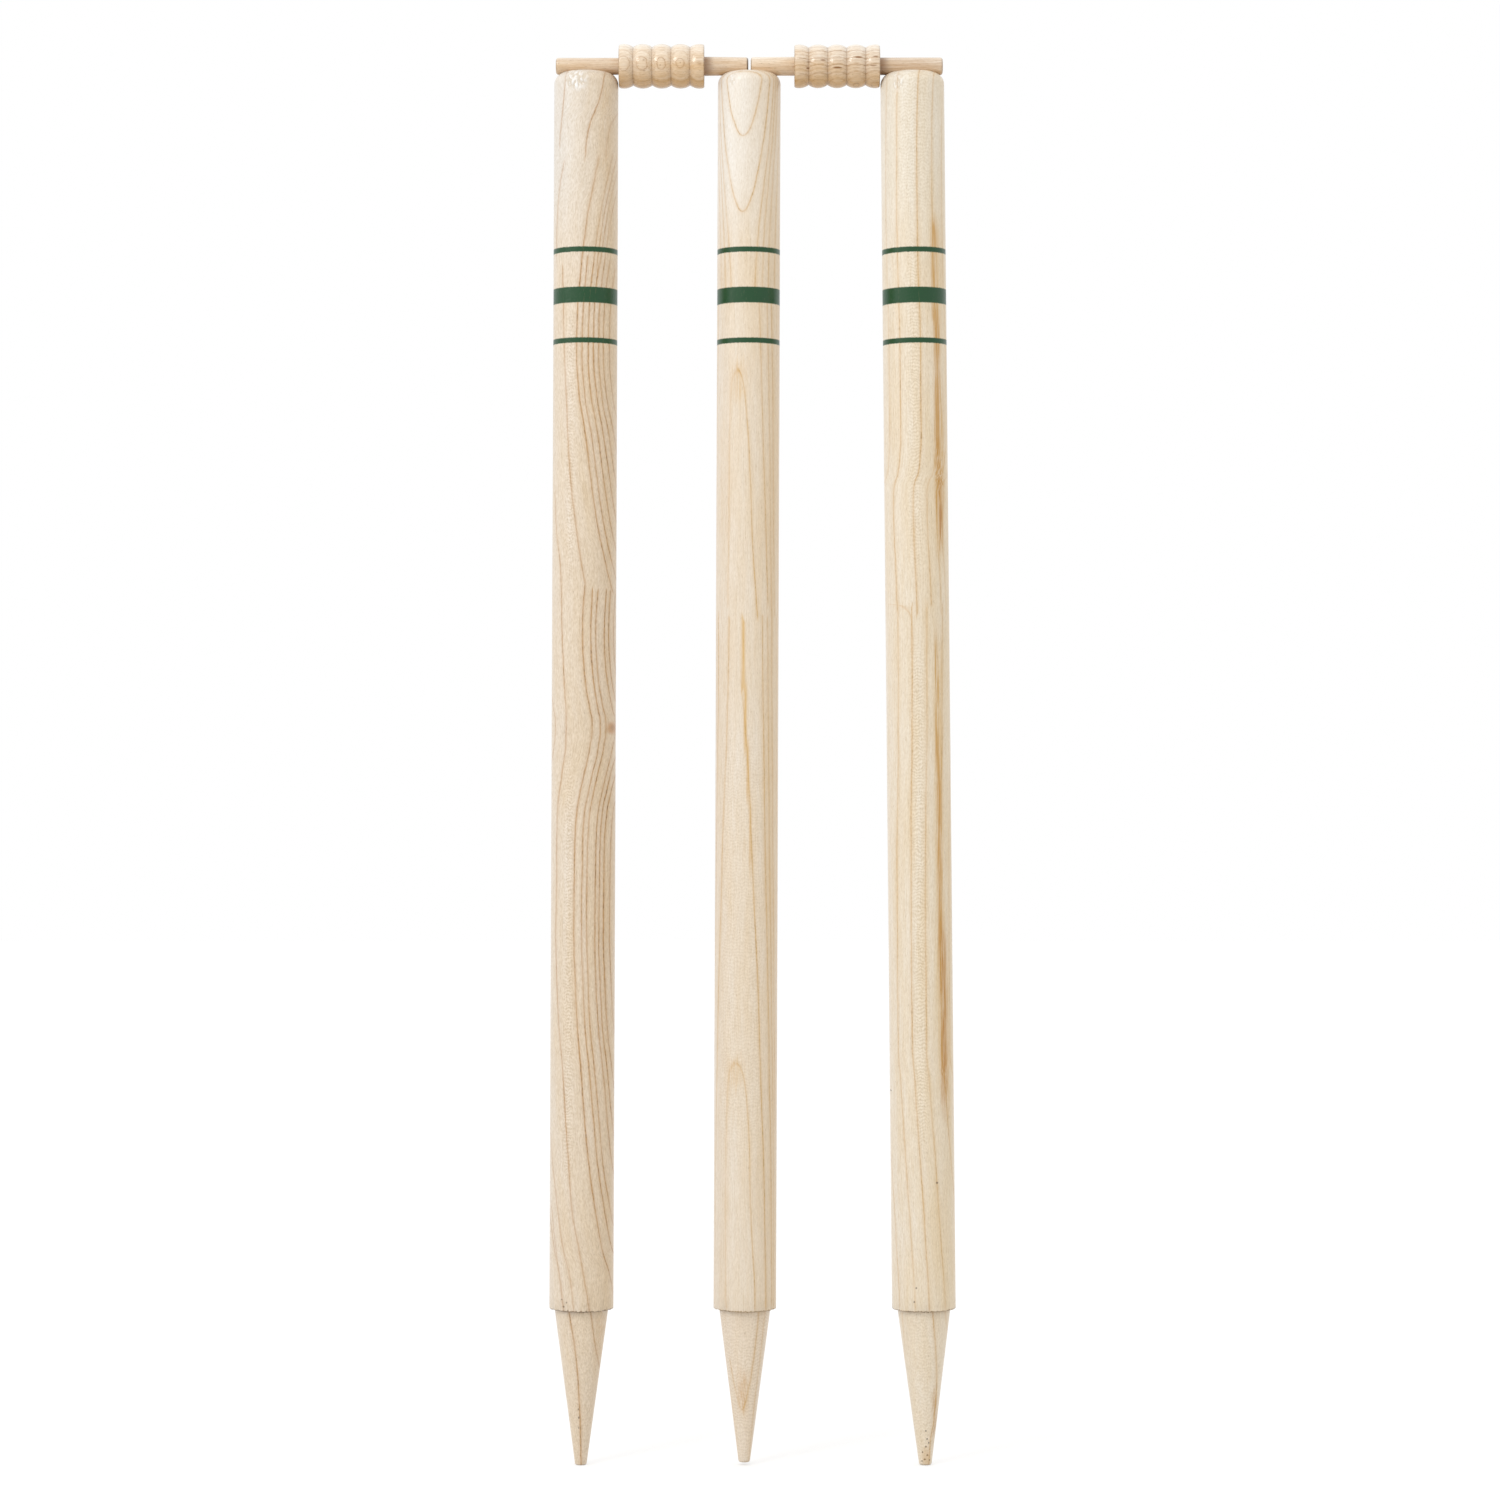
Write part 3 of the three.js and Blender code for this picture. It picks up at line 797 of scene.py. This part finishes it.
rightStump = {
    "name": "right_stump",
    "bail": "right_bail",
    "spikeRootDiameter": 30.6,
    "spikeTipDiameter": 7.3,
    "seed": 23,
    "colours": {
        "pale": "#f2e8d8", "warm": "#e9d3af", "fibre": "#ceb285", "yearLine": "#ca9534", "pore": "#86602a",
        "speck": "#4a3623", "spike": "#f2e2ca", "paintedSheen": "#ebe7dc",
    },
    "ringTurn": 90,
    "pithDistance": 80,
    "sections": [
        {"drift": [(398, -3.2), (425, -4), (451, -5), (464, -5.1), (479, -2.2), (490, -0.7), (505, 0),
                   (544, 0), (600, -1), (632, -1.2), (684, -0.6), (716, 0.6)],
         "years": [(-26, 0.5), (-20, 0.5), (-14.5, 0.4), (-7.5, 0.75), (4.6, 0.9), (12.6, 0.65), (17.5, 0.6),
                   (20, 0.5)]},
        {"drift": [(-1, 8.6), (11, 8.2), (37, 6.7), (63, 5.4), (88, 3.9), (114, 2.2), (133, 1.1),
                   (153, -0.3), (192, -0.3), (246, 0), (295, 0.7), (321, 1.3), (386, 2), (408, 2.2)],
         "years": [(-40, 0.6), (-31, 0.6), (-22, 0.6), (-12.5, 0.6), (-3.9, 0.8), (4.5, 0.65), (12.6, 0.7),
                   (16.8, 0.6), (20.5, 0.6), (24, 0.5)]},
        {"drift": [(-92, 1.5), (-74, 3.1), (-62, 5.3), (-34, 6.9), (1, 5.5)],
         "years": [(-18.2, 0.4), (0, 0.85), (7, 0.5)], "fade": 1},
    ],
    "strays": [
        {"drift": [(386, -1.2), (392, -1.5), (398, -2.3), (401, -4), (404, -7.5), (405, -12), (406, -19)],
         "years": [(0, 0.45)], "window": (374, 420)},
    ],
    "curl": [
        (1, 7, 80, 400, 40, 0.085),
        (1, 7, 404, 640, 50, 0.07),
        (2, 18, 615, 740, 30, 0.05),
        (0, 14, -92, 2, 4, 0.04),
    ],
    "stains": [
        ("#dbb16a", 0.1, 12.3, 3.6, 110, 400, 40, 0.6),
        ("#dbb16a", 0.1, 13.3, 3.4, 420, 640, 40, 0.6),
        ("#c8933c", 0.3, 12.2, 2.4, 560, 632, 14, 0.8),
        ("#c28a30", 0.35, 13.2, 2.4, 440, 585, 30, 0.9),
        ("#cf9f4a", 0.2, 15.6, 2.2, 446, 545, 26, 0.6),
        ("#cf9f4a", 0.2, 15.2, 2.2, 96, 205, 26, 0.5),
        ("#c08630", 0.1, 14.4, 2, 428, 492, 22, 0.85),
        ("#b0701c", 0.6, 14.4, 0.9, 444, 464, 6, 0.9),
        ("#c49038", 0.1, 11.5, 1.8, 290, 404, 35, 0.8),
        ("#c2882e", 0.25, 12.1, 2.1, 180, 330, 40, 0.85),
        ("#b97d24", 0.35, 13.4, 2.8, 104, 232, 30, 0.95),
        ("#bd8a40", 0.1, 5.6, 2.6, -82, -40, 14, 0.7),
    ],
    "marks": [
        (7.5, 74, 0.9, 0.9, 0.75, "speck"), (-5, 14, 0.7, 0.8, 0.7, "speck"),
        (-6.2, 6, 0.7, 0.8, 0.7, "speck"), (-18, 126, 0.7, 0.7, 0.6, "speck"),
        (0.2, -69.7, 0.6, 0.9, 0.7, "speck"), (0.9, -74.5, 0.6, 0.8, 0.85, "speck"),
        (1.9, -76.8, 0.5, 0.9, 0.85, "speck"), (0.2, -79, 0.6, 0.8, 0.9, "speck"),
        (-1.7, -82.3, 0.6, 0.8, 0.85, "speck"), (1, -84, 0.8, 0.7, 0.85, "speck"),
        (-0.5, -86.5, 0.9, 0.7, 0.9, "speck"), (2.2, -87, 0.6, 0.6, 0.85, "speck"),
        (-2, -87.5, 0.6, 0.6, 0.8, "speck"), (0.3, -85, 3.4, 8, 0.3, "yearLine"),
    ],
    "lacquerRunsAndGlints": [(-9, 704.5, 5, 8, 0.5)],
    "paintedHeadSheen": (0.25, 0.45),
    "lineHalfWidth": 0.64,
    "lineStrength": 0.68,
    "dashStrength": 0.75,
    "fleckStrength": 0.085,
}

stumpFinish = {
    "frontSide": -1,
    "lineEndFade": 4,
    "lineHalfWidth": 0.7,
    "lineStrength": 0.9,
    "glowHalfWidth": 2.4,
    "glowStrength": 0.2,
    "dashStrength": 0.85,
    "faintest": 0.4,
    "fibreStrength": 0.4,
    "poreStrength": 0.3,
    # Painted light and shade: the side towards the lamps is painted paler, the other side warmer
    "paintedSideShade": 0.5,
    "paintedSideReach": 18.5,
    "endGrain": 0.2,
    # Painted shade under the shoulder
    "shoulderShade": 0.7,
    "bareness": 0.4,
    # Painted sheen: the heads are painted whiter above these heights, most on the first side and least on the
    # second
    "paintedSheenHeights": (585, 665),
    "paintedSheenSides": (-14, 8),
    "roughness": 0.32,
    "poreRoughness": 0.57,
    "poolRoughness": 0.12,
    "wander": [(9, 70, 0.35), (1.3, 5, 0.16)],
    "paintedRings": [(554.5, 557.5), (577.5, 586.5), (606.5, 609.5)],
}

# The white and grey of the lacquer runs are painted glints
stumpCoats = {"glintWhite": "#ffffff", "glintGrey": "#d8cbb8", "paint": "#00431a"}


# Where a stump stands and how it leans, from its shoulder's mount
def stumpPlace(name):
    mounts = frame["record"]["mounts"]
    shoulder = next(mount for mount in mounts if mount["name"] == name.replace("stump", "shoulder"))
    up = -Vector(shoulder["axis"])
    lean = Matrix.Rotation(math.atan2(up.x, up.z), 4, "Y")
    return Matrix.Translation((shoulder["pos_m"][0], 0, 0)) @ lean


# The outline of a whole stump, from the middle of its blunt tip up to the middle of its domed head
def stumpOutline(stump, radius, spikeLength):
    shape = stumpShape
    rootRadius = stump["spikeRootDiameter"] / 2
    tipRadius = stump["spikeTipDiameter"] / 2
    taper = math.atan2(rootRadius - tipRadius, spikeLength)
    tipEdge = shape["spikeTipEdgeRadius"]
    tipCentre = tipRadius - tipEdge * (1 - math.sin(taper)) / math.cos(taper)
    tip = arc(tipCentre, tipEdge - spikeLength, tipEdge, -math.pi / 2, -taper, shape["tipRings"])
    root = (rootRadius, 0)
    rim = shape["shoulderEdgeRadius"]
    rimArc = arc(radius - rim, rim, rim, -math.pi / 2, 0, shape["rimRings"])
    edge = shape["headEdgeRadius"]
    crownCentre = shape["heightAboveGround"] - shape["headCrownRadius"]
    edgeRise = math.sqrt((shape["headCrownRadius"] - edge) ** 2 - (radius - edge) ** 2)
    crownAngle = math.atan2(edgeRise, radius - edge)
    headArc = arc(radius - edge, crownCentre + edgeRise, edge, 0, crownAngle, shape["edgeRings"])
    crown = arc(0, crownCentre, shape["headCrownRadius"], crownAngle, math.pi / 2, shape["crownRings"])
    return [
        (0, -spikeLength),
        (tipCentre / 2, -spikeLength),
        *tip,
        *between(tip[-1], root, shape["longStep"] / 2),
        root,
        *between(root, rimArc[0], shape["shoulderStep"]),
        *rimArc,
        *between(rimArc[-1], headArc[0], shape["longStep"]),
        *headArc,
        *crown[1:-1],
        (0, shape["heightAboveGround"]),
    ]


# Hand-turned unevenness, always inwards, and small nicks out of the shoulder's rim
def wearStump(work, stump):
    wear = stumpWear
    shift = Vector((0, 0, stump["seed"] * wear["seedStep"]))
    shoulderFrom = stump["spikeRootDiameter"] / 2 + 0.6
    for vert in work.verts:
        out = math.hypot(vert.co.x, vert.co.y) / mm
        height = vert.co.z / mm
        if out < wear["smoothCore"]:
            continue
        stretched = Vector((vert.co.x, vert.co.y, vert.co.z * wear["bumpStretch"]))
        slow = noise.noise(stretched * wear["bumpsPerMetre"] + shift)
        ridges = noise.noise(Vector((0, 0, height / wear["ridgeSpacing"])) + shift)
        cut = wear["unevenness"] * (0.5 + wear["bumpShare"] * slow + wear["ridgeShare"] * ridges)
        if -0.1 < height < wear["nickHeight"] and out > shoulderFrom:
            chip = noise.noise(Vector((vert.co.x, vert.co.y, 0)) * wear["nicksPerMetre"] + shift)
            chip = max(0, chip + 0.05) * wear["nickDepth"] * (1 - height / wear["nickHeight"])
            cut += chip
            vert.co.z += chip * wear["nickRise"] * mm
        vert.co.x *= 1 - cut / out
        vert.co.y *= 1 - cut / out


# The channel across the head that the bail lies in. It is level, however the stump leans, with soft edges.
def cutBailGroove(work, place, bailNode, groove):
    low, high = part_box(bailNode)
    axisHeight = (low.z + high.z) / 2 / mm
    soft = stumpShape["grooveSoftness"]
    back = place.inverted()
    for vert in work.verts:
        world = place @ vert.co
        side = abs(world.y) / mm
        height = world.z / mm
        if height < axisHeight - groove - 1 or side >= groove:
            continue
        floor = axisHeight - math.sqrt(groove ** 2 - side ** 2)
        share = max(soft - abs(height - floor), 0) / soft
        world.z = (min(height, floor) - share ** 2 * soft / 4) * mm
        vert.co = back @ world


def makeStump(stump, thickestSpigot):
    node = stump["name"]
    place = stumpPlace(node)
    low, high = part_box(node)
    radius = (high.y - low.y) / 2 / mm
    spikeLength = -low.z / mm - stumpShape["spikeTipInset"]
    work = turnOutline(stumpOutline(stump, radius, spikeLength), stumpShape["sides"])
    wearStump(work, stump)
    cutBailGroove(work, place, stump["bail"], thickestSpigot / 2 + stumpShape["spigotClearance"])
    wood = satinAsh(node + "Ash", {**stumpFinish, **stump}, {**stumpCoats, **stump["colours"]})
    finishPiece(node + "_ash", work, place, node, wood)


# The bails

bailShape = {
    "fullBeadCount": 3,
    "beadWidth": 10.9,
    "endBeadWidth": 8.25,
    "beadGrooveDepth": 1.7,
    "barrelEdgeRadius": 1,
    "longSpigotLength": 36.3,
    "spigotEdgeRadius": 1.5,
    "spigotStep": 4,
    "edgeRings": 6,
    "endBeadRings": 12,
    "beadRings": 16,
    "sides": 96,
}

bailWear = {
    "unevenness": 0.06,
    "smoothCore": 1,
    "bumpsPerMetre": 120,
    "seedStep": 3.1,
}

leftBail = {
    "name": "left_bail",
    "longSpigotDiameter": 9.8,
    "shortSpigotLength": 25.3,
    "shortSpigotDiameter": 10.4,
    "shortSpigotRootDiameter": 11,
    "seed": 5,
    "ringTurn": 1,
    "pithDistance": 70,
    "sections": [
        {"drift": [(-40, -0.6), (2, -0.33), (13.7, -0.12), (24.6, 0.01), (35.5, 0.09), (44, 0.32),
                   (80, 0.9)],
         "years": [(12.3, 0.7), (10.7, 0.25), (8.5, 0.6, 1, 0), (4.4, 0.5), (1.8, 0.5), (-2, 0.7),
                   (-5.5, 0.6), (-9, 0.7)]},
    ],
    "marks": [
        (-1.5, 14.5, 0.7, 1, 0.4, "mark"), (1.5, 24, 0.6, 0.9, 0.4, "mark"),
        (0, 35.5, 0.7, 0.6, 0.4, "mark"), (4.5, 14.8, 0.5, 1.2, 0.4, "mark"),
    ],
    "wander": [(6, 30, 0.4), (3.2, 3.6, 0.35), (1.2, 4, 0.15)],
    # Dust, and painted shadow and shade: the corner entry is the painted shadow that the barrel casts on the
    # short spigot, the last is painted shade on that spigot's end
    "dustAndShadows": [
        (-18, 45, 0.12, "mark"), (60, 30, 0.12, "mark"), (49.2, 6, 0.6, "corner"), (74.5, 1.3, 1, "tipShade"),
    ],
    "frontSide": -1,
}

rightBail = {
    "name": "right_bail",
    "longSpigotDiameter": 10.1,
    "shortSpigotLength": 25.1,
    "shortSpigotDiameter": 10.6,
    "shortSpigotRootDiameter": 10.9,
    "seed": 17,
    "ringTurn": 110,
    "pithDistance": 80,
    "sections": [
        {"drift": [(-40, -0.8), (-0.3, 0)],
         "years": [(-3, 0.6), (-0.5, 0.6), (1.9, 0.8), (3.6, 0.6)], "fade": 0.6},
        {"drift": [(-0.3, 0), (25, 0.5), (49.5, 1)],
         "years": [(-10, 0.4), (-6.6, 0.4), (-3, 0.7), (-0.5, 0.7), (1.9, 0.9), (3.6, 0.6), (5.4, 0.9),
                   (7.2, 0.6), (8.8, 0.8), (10.6, 0.6), (12, 0.7)], "fade": 0.6},
        {"drift": [(49.5, 1), (80, 1.5)], "years": [(1.9, 0.35), (4.6, 0.5)], "fade": 0.6},
    ],
    "marks": [
        (-3.2, 12.5, 0.8, 3.4, 0.9, "mark"), (2.8, 24.6, 0.8, 3.8, 0.95, "mark"),
        (-1.5, 32.8, 0.8, 2.2, 0.7, "mark"), (-3.6, 2.6, 0.7, 2.4, 0.7, "mark"),
        (3, 41.5, 0.8, 1.4, 0.9, "mark"), (1.6, 4, 0.6, 3, 0.7, "mark"), (-0.6, 41, 0.7, 1.6, 0.6, "mark"),
    ],
    # The corner entry is the painted shadow that the barrel casts on the long spigot beside it
    "dustAndShadows": [(-18, 45, 0.18, "mark"), (0, 6, 0.65, "corner")],
    "frontSide": 1,
}

bailFinish = {
    "lineEndFade": 4,
    "lineHalfWidth": 0.55,
    "lineStrength": 0.6,
    "glowHalfWidth": 1.6,
    "glowStrength": 0.2,
    "dashStrength": 0.7,
    "faintest": 0.1,
    "fibreStrength": 0.55,
    "poreStrength": 0.45,
    "fleckStrength": 0.07,
    # Painted light and shade: the top of a bail is painted paler, its underside warmer
    "paintedSideShade": 0.75,
    "paintedSideReach": 11,
    "endGrain": 0.4,
    "grooveTint": 0.25,
    "grooveTintReach": 0.25,
    "roughness": 0.14,
    "poreRoughness": 0.39,
    "wander": [(6, 30, 0.4), (1.2, 4, 0.15)],
}

bailColours = {
    # The pale colour lands on the bails' tops and the warm one underneath, as painted light and shade
    "pale": "#f4eadb", "warm": "#e0b985", "fibre": "#ba8f58", "yearLine": "#a9773c", "pore": "#75522a",
    # The corner colour is a painted shadow beside the barrel, and the darkest brown is painted shade on a
    # spigot's end
    "groove": "#7a4f26", "corner": "#8f5c28", "tipShade": "#4a3826", "mark": "#8a5a28",
}


# The radius that a round bead's side is rounded to, and half of its angle
def beadRound():
    half = bailShape["beadWidth"] / 2
    depth = bailShape["beadGrooveDepth"]
    radius = (half ** 2 + depth ** 2) / (2 * depth)
    return radius, math.asin(half / radius)


def barrelLength():
    return bailShape["fullBeadCount"] * bailShape["beadWidth"] + 2 * bailShape["endBeadWidth"]


# The barrel: round beads with V grooves between them, and an end bead each side that its face cuts short
def barrelOutline(radius):
    beadRadius, halfAngle = beadRound()
    centreRadius = radius - beadRadius
    edge = bailShape["barrelEdgeRadius"]
    crest = bailShape["endBeadWidth"] - bailShape["beadWidth"] / 2
    inset = math.sqrt((beadRadius - edge) ** 2 - (crest - edge) ** 2)
    edgeAngle = math.atan2(edge - crest, inset)
    endBead = arc(centreRadius + inset, edge, edge, -math.pi / 2, edgeAngle, bailShape["edgeRings"])
    endBead += arc(centreRadius, crest, beadRadius, edgeAngle, halfAngle, bailShape["endBeadRings"])[1:]
    points = list(endBead)
    for bead in range(bailShape["fullBeadCount"]):
        centre = bailShape["endBeadWidth"] + (bead + 1 / 2) * bailShape["beadWidth"]
        points += arc(centreRadius, centre, beadRadius, -halfAngle, halfAngle, bailShape["beadRings"])[1:]
    farBead = [(out, barrelLength() - height) for out, height in reversed(endBead)]
    return points + farBead[1:]


def bailOutline(bail, radius):
    longRadius = bail["longSpigotDiameter"] / 2
    shortRadius = bail["shortSpigotDiameter"] / 2
    rootRadius = bail["shortSpigotRootDiameter"] / 2
    edge = bailShape["spigotEdgeRadius"]
    step = bailShape["spigotStep"]
    rings = bailShape["edgeRings"]
    longTip = -bailShape["longSpigotLength"]
    shortTip = barrelLength() + bail["shortSpigotLength"]
    longEdge = arc(longRadius - edge, longTip + edge, edge, -math.pi / 2, 0, rings)
    shortEdge = arc(shortRadius - edge, shortTip - edge, edge, 0, math.pi / 2, rings)
    barrel = barrelOutline(radius)
    return [
        (0, longTip),
        (longEdge[0][0] / 2, longTip),
        *longEdge,
        *between(longEdge[-1], (longRadius, 0), step),
        (longRadius, 0),
        *between((longRadius, 0), barrel[0], step / 2),
        *barrel,
        *between(barrel[-1], (rootRadius, barrelLength()), step / 2),
        (rootRadius, barrelLength()),
        *between((rootRadius, barrelLength()), shortEdge[0], step),
        *shortEdge,
        (shortEdge[-1][0] / 2, shortTip),
        (0, shortTip),
    ]


def wearBail(work, seed):
    shift = Vector((seed * bailWear["seedStep"], 0, 0))
    for vert in work.verts:
        out = math.hypot(vert.co.x, vert.co.y) / mm
        if out < bailWear["smoothCore"]:
            continue
        slow = noise.noise(vert.co * bailWear["bumpsPerMetre"] + shift)
        cut = bailWear["unevenness"] * (0.5 + 0.5 * slow)
        vert.co.x *= 1 - cut / out
        vert.co.y *= 1 - cut / out


# Lays a bail along x, its long spigot first, towards the right or, turned about, towards the left
def makeBail(bail, towards):
    node = bail["name"]
    low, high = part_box(node)
    outerTip = low.x if towards > 0 else high.x
    outerFace = outerTip + towards * bailShape["longSpigotLength"] * mm
    radius = (high.z - low.z) / 2 / mm
    place = Matrix.Translation((outerFace, 0, (low.z + high.z) / 2))
    if towards < 0:
        place = place @ Matrix.Rotation(math.pi, 4, "Z")
    place = place @ Matrix.Rotation(math.pi / 2, 4, "Y")
    work = turnOutline(bailOutline(bail, radius), bailShape["sides"])
    wearBail(work, bail["seed"])
    grooveBottom = radius - bailShape["beadGrooveDepth"]
    wood = satinAsh(node + "Ash", {**bailFinish, **bail, "grooveBottom": grooveBottom}, bailColours)
    finishPiece(node + "_ash", work, place, node, wood)


makeStump(leftStump, leftBail["longSpigotDiameter"])
makeStump(middleStump, max(leftBail["shortSpigotDiameter"], rightBail["shortSpigotDiameter"]))
makeStump(rightStump, rightBail["longSpigotDiameter"])
print("stumps turned")

makeBail(leftBail, 1)
makeBail(rightBail, -1)
print("bails turned")
